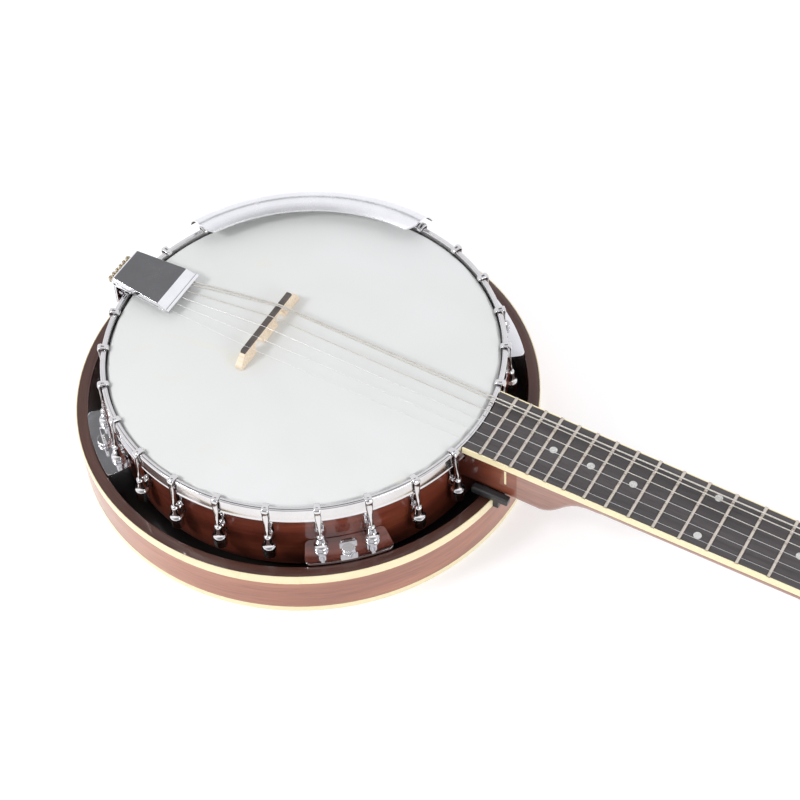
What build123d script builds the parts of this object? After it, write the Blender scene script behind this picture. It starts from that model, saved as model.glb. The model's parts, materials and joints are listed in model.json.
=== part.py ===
"""Resonator banjo with a six-string, guitar-style neck.

Row frame: origin at the centre of the resonator's flat back, on the surface the banjo lies on.
+Z goes up through the drum head, +X runs along the neck to the headstock, +Y is the bass side.
All lengths are millimetres. The source is drawn with the playing surface at HEAD_Z and the
table at FLOOR_Z; save() stands the finished shapes on the table.
"""

from build123d import *
from math import cos, hypot, radians, sin
import os

os.makedirs("parts", exist_ok=True)

BASE = (Align.CENTER, Align.CENTER, Align.MIN)

# ---------------------------------------------------------------- driving dimensions
HEAD_Z = 77.0              # playing surface of the head, drawing height
FLOOR_Z = -4.4             # the table under the resonator's back, drawing height
RIM_R = 139.6              # outside of the wood rim (11 inch head)
RIM_T = 19.0               # wood rim wall
RIM_Z0, RIM_Z1 = 11.0, 68.0
HOOP_R_IN, HOOP_R_WALL = 142.5, 144.1
HOOP_Z0, HOOP_Z1 = HEAD_Z - 13.3, HEAD_Z + 2.2
HOOP_BEAD_R = 145.4        # outermost bead of the tension hoop

DIVISIONS = 26             # hook pitch circle; the neck and the tailpiece take one place each
HOOK_ROD_R = 1.7
HOOK_AXIS_R = 146.9
SHOE_Z0, SHOE_Z1 = HEAD_Z - 38.0, HEAD_Z - 24.0
SHOE_TOP = HEAD_Z - 14.6     # top of the foot that lies against the rim

RES_R = 168.9              # resonator outside radius
RES_WALL_T = 9.2
RES_TOP = HEAD_Z - 41.0
BACK_TOP = FLOOR_Z + 5.4
BINDING_T = 0.9
BINDING_H = 8.2
PLATE_T = 1.8
PLATE_ANGLES = (48.46, 131.54, -131.54, -48.46)

SCALE = 667.0              # bridge to nut
BRIDGE_X, BRIDGE_Y = -31.0, 1.2
BRIDGE_H = 12.5
NECK_PITCH = 2.1           # degrees the neck leans back
NECK_X0 = 143.0            # where the fingerboard surface is BOARD_Z0 high
BOARD_Z0 = HEAD_Z + 2.4
BOARD_T = 5.5
BOARD_HALF, BOARD_TAPER = 28.45, 0.0122
BOARD_EDGE = 0.9           # binding thickness seen from above
NECK_INSET = 0.7           # how far the neck's sides stand in from the binding
FRETS = 22
HEADSTOCK_PITCH = 10.0     # further lean of the headstock
STRING_D = (1.17, 0.91, 0.66, 0.43, 0.33, 0.25)
STRING_Y_NUT = (17.9, 11.1, 3.7, -3.7, -11.1, -18.5)
STRING_Y_BRIDGE = (19.0, 17.6, 6.8, -3.7, -14.3, -25.4)
TAIL_PITCH = 4.4           # string spacing at the tailpiece


# ---------------------------------------------------------------- helpers
def save(shape, name):
    """Write one sub-part; several solids go in as a compound of separate solids."""
    solids = [Pos(0, 0, -FLOOR_Z) * solid for solid in shape.solids()]
    whole = solids[0] if len(solids) == 1 else Compound(children=solids)
    export_step(whole, f"parts/{name}.step")


def group(shapes):
    return Compound(children=[s for shape in shapes for s in shape.solids()])


def tube(r_in, r_out, z0, z1):
    body = Cylinder(r_out, z1 - z0, align=BASE) - Cylinder(r_in, z1 - z0, align=BASE)
    return Pos(0, 0, z0) * body


def disc(r, z0, z1):
    return Pos(0, 0, z0) * Cylinder(r, z1 - z0, align=BASE)


def block(x0, x1, y0, y1, z0, z1):
    centre = Pos((x0 + x1) / 2, (y0 + y1) / 2, (z0 + z1) / 2)
    return centre * Box(x1 - x0, y1 - y0, z1 - z0)


def rod_x(r, x0, x1, y=0.0, z=0.0):
    """Round bar along X."""
    return Pos(x0, y, z) * Rot(0, 90, 0) * Cylinder(r, x1 - x0, align=BASE)


def rod_y(r, y0, y1, x=0.0, z=0.0):
    """Round bar along Y."""
    return Pos(x, y0, z) * Rot(-90, 0, 0) * Cylinder(r, y1 - y0, align=BASE)


def hexagon(flats, height):
    face = RegularPolygon(flats / 2, 6, major_radius=False)
    return extrude(face, height)


def outline(points):
    return make_face(Polyline(*points, close=True))


def side_face(points):
    """Closed outline in the XZ plane, given as (x, z) points."""
    return Plane.XZ * outline(points)


def slab_y(points, half):
    """Side outline pushed out to both sides of the XZ plane."""
    return extrude(side_face(points), half, both=True)


def lathe(face):
    """Turn a face drawn in the XZ plane about Z."""
    return revolve(face, Axis.Z)


def around(shape, angle):
    return Rot(0, 0, angle) * shape


PITCH = 360.0 / DIVISIONS
HOOK_PLACES = [k for k in range(DIVISIONS) if k not in (0, DIVISIONS // 2)]
HOOK_ANGLES = [-PITCH * k for k in HOOK_PLACES]


def at_plate(angle):
    """True for the two hooks either side of a resonator plate."""
    gaps = [abs((angle - a + 180) % 360 - 180) for a in PLATE_ANGLES]
    return min(gaps) < PITCH * 0.6


# ---------------------------------------------------------------- the pot
ROD_Z = (40.0, 53.0)       # the two coordinator rods
ROD_R, LAG_R = 4.75, 2.9
SHOE_BOLT_Z = (SHOE_Z0 + SHOE_Z1) / 2
SHOE_BOLT_R = 2.2

head_profile = [(0, HEAD_Z - 0.5), (137.9, HEAD_Z - 0.5), (139.8, HEAD_Z - 2.4), (139.8, 66.6),
                (140.3, 66.6), (140.3, HEAD_Z - 2.1), (138.2, HEAD_Z), (0, HEAD_Z)]
drum_head = lathe(side_face(head_profile))
save(drum_head, "drum_head")

flesh_hoop = tube(140.3, 142.3, 66.3, 71.4)
save(flesh_hoop, "flesh_hoop")

tone_face = side_face([(133.2, RIM_Z1), (139.4, RIM_Z1), (139.4, 74.4), (137.6, HEAD_Z - 0.6),
                       (134.4, HEAD_Z - 0.6), (133.2, 75.2)])
save(lathe(tone_face), "tone_ring")

hoop_face = Plane.XZ * (
    Pos((HOOP_R_IN + HOOP_R_WALL) / 2, (HOOP_Z0 + HOOP_Z1) / 2)
    * Rectangle(HOOP_R_WALL - HOOP_R_IN, HOOP_Z1 - HOOP_Z0 - 1.6)
    + Pos(142.6, 75.6) * Rectangle(2.8, 7.2)
    + Pos(143.4, HOOP_Z1 - 1.4) * Circle(1.4)
    + Pos(HOOP_BEAD_R - 2.0, HOOP_Z0 + 2.0) * Circle(2.0)
)
bead_room = Plane.XZ * (Pos(HOOP_R_IN - 1.2, HOOP_Z0 + 2) * Rectangle(2.4, 6))
tension_hoop = lathe(hoop_face - bead_room)
save(tension_hoop, "tension_hoop")

wood_rim = tube(RIM_R - RIM_T, RIM_R, RIM_Z0, RIM_Z1)
rim_bolt_hole = rod_x(SHOE_BOLT_R + 0.1, RIM_R - RIM_T - 5, RIM_R + 5, z=SHOE_BOLT_Z)
for angle in HOOK_ANGLES:
    wood_rim -= around(rim_bolt_hole, angle)
for z in ROD_Z:
    wood_rim -= rod_x(LAG_R + 0.15, 110, 150, z=z)
    wood_rim -= rod_x(LAG_R + 0.15, -150, -110, z=z)
save(wood_rim, "wood_rim")


def bracket_hook():
    """Flat claw over the hoop, flat tapered blade, round threaded end."""
    claw = slab_y([(139.9, 77.8), (141.1, 77.8), (141.1, HOOP_Z1 + 0.1), (148.1, HOOP_Z1 + 0.1),
                   (148.1, 80.6), (147.0, 81.7), (141.0, 81.7), (139.9, 80.6)], 2.7)
    blade = slab_y([(145.75, 58.4), (148.1, 58.4), (148.1, 80.6), (145.75, 80.6)], 2.7)
    taper = Plane.YZ * outline([(-1.5, 58), (-2.4, 73), (-2.2, 78), (-2.7, 80),
                                (-2.7, 83), (2.7, 83), (2.7, 80), (2.2, 78), (2.4, 73), (1.5, 58)])
    blade &= extrude(taper, 200)
    rod = Pos(HOOK_AXIS_R, 0, 27.5) * Cylinder(HOOK_ROD_R, 32.0, align=BASE)
    return claw + blade + rod


def bracket_shoe():
    """Bell-shaped ear for the hook, joined by a web to a tall foot against the rim."""
    rise = SHOE_Z1 - SHOE_Z0
    flare = Spline((5.0, 3.6), (3.7, 6.0), (3.0, rise - 1.0), tangents=[(-1, 0.5), (0, 1)])
    outside = Polyline((3.0, rise - 1.0), (2.5, rise), (0, rise), (0, 0), (5.2, 0), (5.0, 3.6))
    ear = Pos(HOOK_AXIS_R, 0, SHOE_Z0) * lathe(Plane.XZ * make_face([flare, outside]))
    web = block(138, HOOK_AXIS_R, -3.4, 3.4, SHOE_Z0 + 2, SHOE_Z1 - 3)
    foot = block(138, 141.9, -3.4, 3.4, SHOE_Z0 + 2, SHOE_TOP)
    foot = fillet(foot.edges().filter_by(Axis.X).group_by(Axis.Z)[-1], 1.6)
    body = ear + web + foot
    body -= disc(RIM_R, 0, HEAD_Z)
    body -= Pos(HOOK_AXIS_R, 0, 0) * Cylinder(HOOK_ROD_R + 0.25, HEAD_Z, align=BASE)
    body -= rod_x(SHOE_BOLT_R + 0.05, 130, 144.6, z=SHOE_BOLT_Z)
    return body


def shoe_bolt():
    """Bolt from inside the rim into the shoe, with a flanged hexagon head."""
    shank = rod_x(SHOE_BOLT_R, 119, 144.3, z=SHOE_BOLT_Z)
    face_x = RIM_R - RIM_T - 0.1
    flange = rod_x(5.4, face_x - 1.4, face_x, z=SHOE_BOLT_Z)
    flange &= disc(RIM_R - RIM_T - 0.02, 0, HEAD_Z)
    head = Pos(face_x - 4.8, 0, SHOE_BOLT_Z) * Rot(0, 90, 0) * hexagon(7.0, 3.6)
    return shank + flange + head


def hook_nut(top):
    """Tall hexagon nut with a rounded foot."""
    nut = Pos(HOOK_AXIS_R, 0, top - 8.0) * hexagon(8.6, 8.0)
    barrel = Pos(HOOK_AXIS_R, 0, top - 8.0) * Cylinder(4.8, 8.0, align=BASE)
    barrel = chamfer(barrel.edges().group_by(Axis.Z)[0], 1.4)
    bore = Pos(HOOK_AXIS_R, 0, 0) * Cylinder(HOOK_ROD_R + 0.03, HEAD_Z, align=BASE)
    return (nut & barrel) - bore


hook, shoe, bolt = bracket_hook(), bracket_shoe(), shoe_bolt()
nut_plain, nut_plate = hook_nut(SHOE_Z0), hook_nut(SHOE_Z0 - PLATE_T)
save(group([around(hook, a) for a in HOOK_ANGLES]), "bracket_hooks")
save(group([around(shoe, a) for a in HOOK_ANGLES]), "bracket_shoes")
save(group([around(bolt, a) for a in HOOK_ANGLES]), "shoe_bolts")
nuts = [around(nut_plate if at_plate(a) else nut_plain, a) for a in HOOK_ANGLES]
save(group(nuts), "hook_nuts")

# Coordinator rods brace the rim; lag screws in the neck heel thread into their near ends.
HANGER_X = -(RIM_R + 2.0)  # outer face of the tailpiece hanger's foot
rods, rod_nuts, lags = [], [], []
for z in ROD_Z:
    rod = rod_x(ROD_R, -119.5, 119.5, z=z) + rod_x(LAG_R, -150, -119.5, z=z)
    rods.append(rod - rod_x(LAG_R + 0.05, 104, 130, z=z))
    lags.append(rod_x(LAG_R, 106, 178, z=z))
    outer_nut = Pos(HANGER_X - 4.5, 0, z) * Rot(0, 90, 0) * hexagon(10.0, 4.5)
    rod_nuts.append(outer_nut - rod_x(LAG_R + 0.03, -160, -130, z=z))
save(group(rods), "coordinator_rods")
save(group(rod_nuts), "coordinator_rod_nuts")
save(group(lags), "neck_lag_screws")

# ---------------------------------------------------------------- the resonator
res_in = RES_R - RES_WALL_T
bind_r = RES_R - BINDING_T
CUT_HALF, CUT_Z = 28.6, 27.0

wall_face = side_face([(res_in, BACK_TOP), (RES_R, BACK_TOP), (RES_R, RES_TOP - BINDING_H),
                       (bind_r, RES_TOP - BINDING_H), (bind_r, RES_TOP), (res_in + 1.2, RES_TOP),
                       (res_in + 0.4, RES_TOP - 0.4), (res_in, RES_TOP - 1.2)])
cut_out = block(150, 180, -CUT_HALF, CUT_HALF, CUT_Z, 60)
save(lathe(wall_face) - cut_out, "resonator_wall")
save(disc(bind_r, FLOOR_Z, BACK_TOP), "resonator_back")
top_binding = tube(bind_r, RES_R, RES_TOP - BINDING_H, RES_TOP) - cut_out
foot_binding = tube(bind_r, RES_R, FLOOR_Z + 0.2, BACK_TOP)
save(group([top_binding, foot_binding]), "resonator_bindings")

SCREW_R_AT = 152.0         # thumbscrew axis from the pot's centre
SCREW_R = 1.95
lug_top = SHOE_Z0 - PLATE_T


def resonator_lug():
    body = block(146.5, 165, -6, 6, 20, lug_top) - block(146, 153, -7, 7, 0, 27)
    body &= disc(res_in, 0, HEAD_Z)
    hole = Pos(SCREW_R_AT, 0, 24.5) * Cylinder(SCREW_R + 0.07, 30, align=BASE)
    return body - hole


def resonator_plate():
    """Arc-shaped flange plate that two hooks and one thumbscrew pass through."""
    half = 11.3
    inner, outer = RIM_R + 0.4, 160.2
    arc_plate = tube(inner, outer, lug_top, SHOE_Z0)
    wedge = Polyline((0, 0), (220 * cos(radians(half)), 220 * sin(radians(half))),
                     (220 * cos(radians(half)), -220 * sin(radians(half))), close=True)
    arc_plate &= extrude(make_face(wedge), HEAD_Z)
    corners = arc_plate.edges().filter_by(Axis.Z)
    arc_plate = fillet(corners, 4.0)
    for side in (-1, 1):
        hook_hole = Pos(HOOK_AXIS_R, 0, 0) * Cylinder(HOOK_ROD_R + 0.3, HEAD_Z, align=BASE)
        arc_plate -= around(hook_hole, side * PITCH / 2)
    return arc_plate - Pos(SCREW_R_AT, 0, 0) * Cylinder(SCREW_R + 0.35, HEAD_Z, align=BASE)


def thumb_screw():
    """Knurled collar with a flat paddle on a threaded shaft."""
    z = SHOE_Z0 + 0.2
    shaft = Pos(SCREW_R_AT, 0, 26) * Cylinder(SCREW_R, z - 25, align=BASE)
    collar = Pos(SCREW_R_AT, 0, z) * Cylinder(4.7, 3.6, align=BASE)
    for i in range(24):
        notch = Pos(4.85, 0, 0) * Cylinder(0.3, 10, align=BASE)
        collar -= Pos(SCREW_R_AT, 0, z - 3) * Rot(0, 0, 15 * i) * notch
    paddle = block(SCREW_R_AT - 0.9, SCREW_R_AT + 0.9, -6, 6, z + 3.6, z + 11.5)
    paddle = fillet(paddle.edges().filter_by(Axis.X).group_by(Axis.Z)[-1], 3.2)
    return shaft + collar + paddle


save(group([around(resonator_lug(), a) for a in PLATE_ANGLES]), "resonator_lugs")
save(group([around(resonator_plate(), a) for a in PLATE_ANGLES]), "resonator_plates")
for number, angle in enumerate(PLATE_ANGLES, start=1):
    save(around(thumb_screw(), angle), f"resonator_thumb_screw_{number}")

# Black saddle that lines the neck cut-out and stands up either side of the heel.
HEEL_HALF = 25.4
CHEEK_Z0, CHEEK_Z1 = RES_TOP + 2.6, RES_TOP + 8.0
SADDLE_X0, SADDLE_X1 = 158.8, 170.4
saddle = block(SADDLE_X0, SADDLE_X1, -CUT_HALF + 0.1, CUT_HALF - 0.1, CUT_Z, CUT_Z + 5.0)
for side in (-1, 1):
    near, far = sorted((side * (HEEL_HALF + 0.4), side * (CUT_HALF - 0.1)))
    saddle += block(SADDLE_X0, SADDLE_X1, near, far, CUT_Z, CHEEK_Z0)
    near, far = sorted((side * (HEEL_HALF + 0.4), side * 31.6))
    cheek = block(151, 179, near, far, CHEEK_Z0, CHEEK_Z1)
    saddle += fillet(cheek.edges().group_by(Axis.Z)[-1], 1.6)
save(saddle, "neck_saddle")

# ---------------------------------------------------------------- the neck frame
neck_frame = Pos(NECK_X0, 0, BOARD_Z0) * Rot(0, NECK_PITCH, 0)


def along(x):
    """Distance along the fingerboard of the point above row coordinate x."""
    return (x - NECK_X0) / cos(radians(NECK_PITCH))


def board_half(s):
    """Half width of the fingerboard, binding included."""
    return BOARD_HALF - BOARD_TAPER * s


S_END = along(BRIDGE_X + SCALE)      # nut end of the fingerboard
S_HEAD = S_END + 4.7                 # where the headstock face begins
NECK_D0, NECK_D1 = 16.2, 14.6        # neck depth below the fingerboard, heel end and nut end
pot_clear = disc(RIM_R + 0.1, 0, HOOP_Z0 - 0.6) + disc(HOOP_BEAD_R + 0.4, HOOP_Z0 - 0.6, 100)

# ---------------------------------------------------------------- fingerboard

def board_slab(inset, top, bottom):
    s0, s1 = 0.0, S_END
    b0, b1 = board_half(s0) - inset, board_half(s1) - inset
    face = outline([(s0, -b0), (s1, -b1), (s1, b1), (s0, b0)])
    return Pos(0, 0, bottom) * extrude(face, top - bottom)


core = board_slab(BOARD_EDGE, 0, -BOARD_T)
rails = board_slab(0, 0, -BOARD_T) - board_slab(BOARD_EDGE, 1, -BOARD_T - 1)
fret_s = [along(BRIDGE_X + SCALE * 2 ** (-n / 12)) for n in range(1, FRETS + 1)]
fret_wires = []
for s in fret_s:
    half = board_half(s)
    core -= block(s - 0.3, s + 0.3, -half, half, -2.2, 1)
    crown = extrude(Plane.XZ * (Pos(s, 0) * (Circle(1.25) & Pos(0, 0.5) * Rectangle(4, 1.0))),
                    half - 0.4, both=True)
    tang_half = half - BOARD_EDGE - 0.1
    tang = block(s - 0.28, s + 0.28, -tang_half, tang_half, -2.0, 0.2)
    fret_wires.append(crown + tang)

SINGLE_DOTS = (3, 5, 7, 9, 15, 17, 19)
DOT_R = 2.8
dots = []
nut_line = [S_END] + fret_s


def fret_gap_middle(n):
    return (nut_line[n - 1] + nut_line[n]) / 2


dot_places = [(fret_gap_middle(n), 0.0) for n in SINGLE_DOTS]
dot_places += [(fret_gap_middle(12), side * 17.3) for side in (-1, 1)]
for s, y in dot_places:
    dot = Pos(s, y, -1.5) * Cylinder(DOT_R, 1.5, align=BASE)
    core -= dot
    dots.append(dot)

save(neck_frame * core - pot_clear, "fretboard")
save(group([neck_frame * wire for wire in fret_wires]), "frets")
save(group([neck_frame * dot for dot in dots]), "inlay_dots")

# ---------------------------------------------------------------- neck: heel, shaft, headstock
def neck_section(s, half, straight, depth):
    """D-shaped section hanging below the fingerboard: straight sides, then a round belly."""
    low, high = -BOARD_T - depth, -BOARD_T
    mid = high - straight
    right = Spline((half, mid), (half * 0.86, mid - (mid - low) * 0.62), (0, low),
                   tangents=[(0, -1), (-1, 0)])
    left = Spline((0, low), (-half * 0.86, mid - (mid - low) * 0.62), (-half, mid),
                  tangents=[(-1, 0), (0, 1)])
    top = Polyline((-half, mid), (-half, high), (half, high), (half, mid))
    return Plane((s, 0, 0), x_dir=(0, 1, 0), z_dir=(1, 0, 0)) * make_face(right + left + top)


def shaft_depth(s):
    return NECK_D0 + (NECK_D1 - NECK_D0) * (s - S_SHAFT) / (S_END - S_SHAFT)


S_SHAFT = 104.0                      # the shaft's even taper starts here
heel_stations = [(-6.0, 27.0, 38.0), (56.0, 27.0, 38.0)]
curve_stations = [(56.0, 27.0, 38.0), (62.0, 26.0, 37.2), (68.0, 22.0, 33.8), (74.0, 15.5, 27.6),
                  (81.0, 8.0, 20.8), (90.0, 3.0, 17.2), (S_SHAFT, 1.2, NECK_D0)]


def heel_half(s):
    return min(HEEL_HALF, board_half(s) - NECK_INSET)


heel = loft([neck_section(s, HEEL_HALF, st, d) for s, st, d in heel_stations], ruled=True)
curve = loft([neck_section(s, heel_half(s), st, d) for s, st, d in curve_stations])
shaft = loft([neck_section(S_SHAFT, heel_half(S_SHAFT), 1.2, NECK_D0),
              neck_section(S_END - 14, heel_half(S_END - 14), 1.2, NECK_D1 + 0.05),
              neck_section(S_HEAD + 3, heel_half(S_HEAD), 1.2, NECK_D1 - 1.5)], ruled=True)

head_frame = Pos(S_HEAD, 0, -2.8) * Rot(0, HEADSTOCK_PITCH, 0)
VENEER_T, HEADSTOCK_T = 1.4, 14.0
HEADSTOCK_L = 156.0


def headstock_face(start):
    """Headstock outline in its own plane, t along and y across."""
    waist, shoulder, crest = 21.8, 33.5, 35.5
    half = [(start, waist), (0, waist), (8, 23.6), (22, 31.6), (34, shoulder), (134, crest)]
    side_a = Line(half[0], half[1]) if start < 0 else None
    flare = Spline(half[1], half[2], half[3], half[4], tangents=[(1, 0.05), (1, 0.02)])
    rail = Line(half[4], half[5])
    crown = Spline(half[5], (146, 27.5), (HEADSTOCK_L - 3, 13), (HEADSTOCK_L, 0),
                   tangents=[(1, -0.1), (0, -1)])
    upper = [e for e in (side_a, flare, rail, crown) if e is not None]
    lower = [e.mirror(Plane.XZ) for e in upper]
    back = Line((start, -waist), (start, waist))
    return make_face(upper + lower + [back])


plank = Pos(0, 0, -VENEER_T - HEADSTOCK_T) * extrude(headstock_face(-7.0), HEADSTOCK_T)
veneer = Pos(0, 0, -VENEER_T) * extrude(headstock_face(0.0), VENEER_T)
over_nut = block(S_END - 20, S_HEAD + 30, -40, 40, -BOARD_T, 20)
face_cut = head_frame * block(-30, 200, -60, 60, -VENEER_T, 30)
neck = heel + curve + shaft + (head_frame * plank - over_nut)
nut_seat = block(S_HEAD, S_HEAD + 30, -60, 60, -BOARD_T - 8, 20) & face_cut
neck -= nut_seat

TRUSS_W, TRUSS_Z = 6.4, -BOARD_T - 3.6
channel = block(60, S_HEAD + 16, -TRUSS_W / 2, TRUSS_W / 2, TRUSS_Z - 3.2, -BOARD_T + 3)
neck -= channel
truss = rod_x(2.9, 61, S_HEAD + 3, z=TRUSS_Z)
truss_nut = Pos(S_HEAD + 3, 0, TRUSS_Z) * Rot(0, 90, 0) * hexagon(5.4, 8)
save(neck_frame * (truss + truss_nut), "truss_rod")

# ---------------------------------------------------------------- tuning machines
POST_T = (38.0, 78.0, 118.0)
POST_Y = 22.0
POST_R, BUSH_R = 3.15, 4.9
POST_TOP = 9.0
WORM_OFFSET = 7.5
back_h = -VENEER_T - HEADSTOCK_T
worm_h = back_h - 5.2
housings, bushings, small_screws = [], [], []
screw_shank = Cylinder(1.1, 9.0, align=BASE)
screw_head = Cylinder(2.3, 1.3, align=BASE)


def tuner_housing(t):
    """Gear case under the headstock with a screw tab, open inside for the gears."""
    y0, y1 = POST_Y - 8.5, POST_Y + 10.5
    case = block(t - 7.2, t + 11.2, y0, y1, back_h - 10, back_h)
    case = fillet(case.edges().group_by(Axis.Z)[0], 1.6)
    case -= block(t - 6.2, t + 10.2, y0 + 1, y1 - 1, back_h - 9, back_h - 1)
    case += block(t - 12.4, t - 7.2, POST_Y - 4, POST_Y + 4, back_h - 1.4, back_h)
    case -= Pos(t, POST_Y, back_h - 5) * Cylinder(POST_R + 0.15, 10, align=BASE)
    case -= rod_y(2.0 + 0.07, POST_Y, POST_Y + 30, x=t + WORM_OFFSET, z=worm_h)
    return case - Pos(t - 10, POST_Y, back_h - 5) * Cylinder(1.15, 10, align=BASE)


def tuner_bushing(t):
    sleeve = Pos(t, POST_Y, -12) * Cylinder(BUSH_R, 12, align=BASE)
    washer = Pos(t, POST_Y, 0) * Cylinder(6.8, 0.9, align=BASE)
    nut_body = Pos(t, POST_Y, 0.9) * hexagon(10.4, 1.9)
    bore = Pos(t, POST_Y, -13) * Cylinder(POST_R + 0.07, 30, align=BASE)
    return sleeve + washer + nut_body - bore


def tuner_post(t, wire):
    """String post with the string's wound turns on it and the worm wheel at its foot."""
    foot_h = back_h - 8
    post = Pos(t, POST_Y, foot_h) * Cylinder(POST_R, POST_TOP - foot_h, align=BASE)
    waist = Pos(t, POST_Y, 3.1) * (Cylinder(5, 3.6, align=BASE) - Cylinder(2.7, 3.6, align=BASE))
    post -= waist
    post -= rod_y(0.75, POST_Y - 6, POST_Y + 6, x=t, z=7.6)
    wheel = Pos(t, POST_Y, worm_h - 1.8) * Cylinder(5.3, 3.6, align=BASE)
    for i in range(14):
        gash = Pos(5.6, 0, 0) * Cylinder(0.62, 10, align=BASE)
        wheel -= Pos(t, POST_Y, worm_h - 5) * Rot(0, 0, i * 360 / 14) * gash
    turns = max(2, min(3, int(3.3 / wire)))
    for i in range(turns):
        ring = Torus(2.7 + wire / 2 - 0.05, wire / 2)
        post += Pos(t, POST_Y, 3.3 + wire / 2 + i * wire * 0.97) * ring
    return post + wheel


def tuner_knob(t):
    """Worm on a shaft that leaves the case, with an oval button outside the headstock."""
    x = t + WORM_OFFSET
    shaft_bar = rod_y(2.0, POST_Y + 6, POST_Y + 17.5, x=x, z=worm_h)
    worm = rod_y(1.2, POST_Y - 7, POST_Y + 6, x=x, z=worm_h)
    for i in range(5):
        worm += rod_y(1.95, POST_Y - 5.4 + i * 2.3, POST_Y - 4.3 + i * 2.3, x=x, z=worm_h)
    collar = rod_y(3.3, POST_Y + 15.4, POST_Y + 17.6, x=x, z=worm_h)
    oval = extrude(Ellipse(8.2, 4.6), 9.6)
    oval = fillet(oval.edges(), 1.5)
    button = Pos(x, POST_Y + 17.5, worm_h) * Rot(-90, 0, 0) * oval
    return worm + shaft_bar + collar + button


for side in (1, -1):
    for place, t in enumerate(POST_T):
        string = place if side > 0 else 5 - place
        flip = (lambda shape: shape) if side > 0 else (lambda shape: shape.mirror(Plane.XZ))
        housings.append(neck_frame * head_frame * flip(tuner_housing(t)))
        bushings.append(neck_frame * head_frame * flip(tuner_bushing(t)))
        post = neck_frame * head_frame * flip(tuner_post(t, STRING_D[string]))
        save(post, f"tuner_post_{string + 1}")
        save(neck_frame * head_frame * flip(tuner_knob(t)), f"tuner_knob_{string + 1}")
        driven = Pos(t - 10, POST_Y, back_h - 1.4) * screw_shank
        driven += Pos(t - 10, POST_Y, back_h - 2.7) * screw_head
        small_screws.append(neck_frame * head_frame * flip(driven))
        neck -= head_frame * flip(Pos(t, POST_Y, -30) * Cylinder(BUSH_R + 0.05, 60, align=BASE))
        neck -= head_frame * flip(Pos(t - 10, POST_Y, back_h - 1.4) * screw_shank)
        veneer -= flip(Pos(t, POST_Y, -30) * Cylinder(BUSH_R + 0.05, 60, align=BASE))

save(group(housings), "tuner_housings")
save(group(bushings), "tuner_bushings")

# Cover plate over the truss rod's nut, on two small screws.
COVER_T = 1.8
cover_face = make_face(Polyline((2.0, -8.5), (10, -9.5), (26, -4.4), (29, 0), (26, 4.4),
                                (10, 9.5), (2.0, 8.5), close=True))
truss_cover = fillet(extrude(cover_face, COVER_T).edges().group_by(Axis.Z)[-1], 0.6)
veneer -= block(-1, 17, -TRUSS_W / 2, TRUSS_W / 2, -5, 5)
for t, y in ((5.0, -6.3), (5.0, 6.3)):
    shank = Pos(t, y, COVER_T - 7.5) * Cylinder(1.1, 7.5, align=BASE)
    truss_cover -= shank
    veneer -= shank
    neck -= head_frame * shank
    small_screws.append(neck_frame * head_frame * (shank + Pos(t, y, COVER_T) * screw_head))
save(neck_frame * head_frame * truss_cover, "truss_rod_cover")
save(group(small_screws), "headstock_screws")
save(neck_frame * head_frame * veneer - neck_frame * block(0, S_HEAD, -60, 60, -20, 20),
     "headstock_veneer")

neck = neck_frame * neck - pot_clear
for z in ROD_Z:
    neck -= rod_x(LAG_R + 0.05, 130, 178.5, z=z)
heel_strips = [block(173.7, 175.3, HEEL_HALF - 0.8, HEEL_HALF, 54, 68),
               block(173.7, 175.3, -HEEL_HALF, 0.8 - HEEL_HALF, 54, 68)]
for strip in heel_strips:
    neck -= strip
save(neck, "neck")
board_rails = [neck_frame * rail - pot_clear for rail in rails.solids()]
save(group(board_rails + heel_strips), "fretboard_binding")

# ---------------------------------------------------------------- string nut
NUT_TOP = 2.1
STRING_W = 1.3                        # underside of the strings above the fingerboard at the nut
nut_half = heel_half(S_END)
string_nut = block(S_END, S_HEAD - 0.1, -nut_half, nut_half, -BOARD_T, NUT_TOP)
string_nut = fillet(string_nut.edges().group_by(Axis.Z)[-1].filter_by(Axis.Y), 0.8)
for y, d in zip(STRING_Y_NUT, STRING_D):
    string_nut -= block(S_END - 1, S_HEAD + 1, y - d / 2 - 0.05, y + d / 2 + 0.05, STRING_W, 5)
string_nut = neck_frame * string_nut

# ---------------------------------------------------------------- bridge
CAP_H = 2.2
FOOT_HALF, TOP_HALF = 38.8, 32.0
foot_z, top_z = HEAD_Z, HEAD_Z + BRIDGE_H
cap_z = top_z - CAP_H
front = make_face(Polyline((-FOOT_HALF, foot_z), (-FOOT_HALF, foot_z + 3.4), (-TOP_HALF, cap_z),
                           (TOP_HALF, cap_z), (FOOT_HALF, foot_z + 3.4), (FOOT_HALF, foot_z),
                           close=True))
ARCH_Y, ARCH_R, ARCH_SPRING = 14.2, 5.0, 4.0
for side in (-1, 1):
    centre = side * ARCH_Y
    front -= Pos(centre, foot_z) * Rectangle(2 * ARCH_R, 2 * ARCH_SPRING)
    front -= Pos(centre, foot_z + ARCH_SPRING) * Circle(ARCH_R)
bridge_body = extrude(Plane.YZ * front, 20, both=True)
FOOT_T, TOP_T = 6.4, 3.4
flank = slab_y([(-FOOT_T / 2, foot_z), (FOOT_T / 2, foot_z), (TOP_T / 2, top_z),
                (-TOP_T / 2, top_z)], 60)
bridge_body = Pos(BRIDGE_X, BRIDGE_Y, 0) * (bridge_body & flank)
save(bridge_body, "bridge_body")
cap_face = make_face(Polyline((-TOP_HALF, cap_z), (-TOP_HALF + 0.8, top_z), (TOP_HALF - 0.8, top_z),
                              (TOP_HALF, cap_z), close=True))
bridge_cap = Pos(BRIDGE_X, BRIDGE_Y, 0) * (extrude(Plane.YZ * cap_face, 20, both=True) & flank)
SEAT = 0.35                           # depth of the string notches
pair_y = (STRING_Y_BRIDGE[0] + STRING_Y_BRIDGE[1]) / 2
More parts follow.
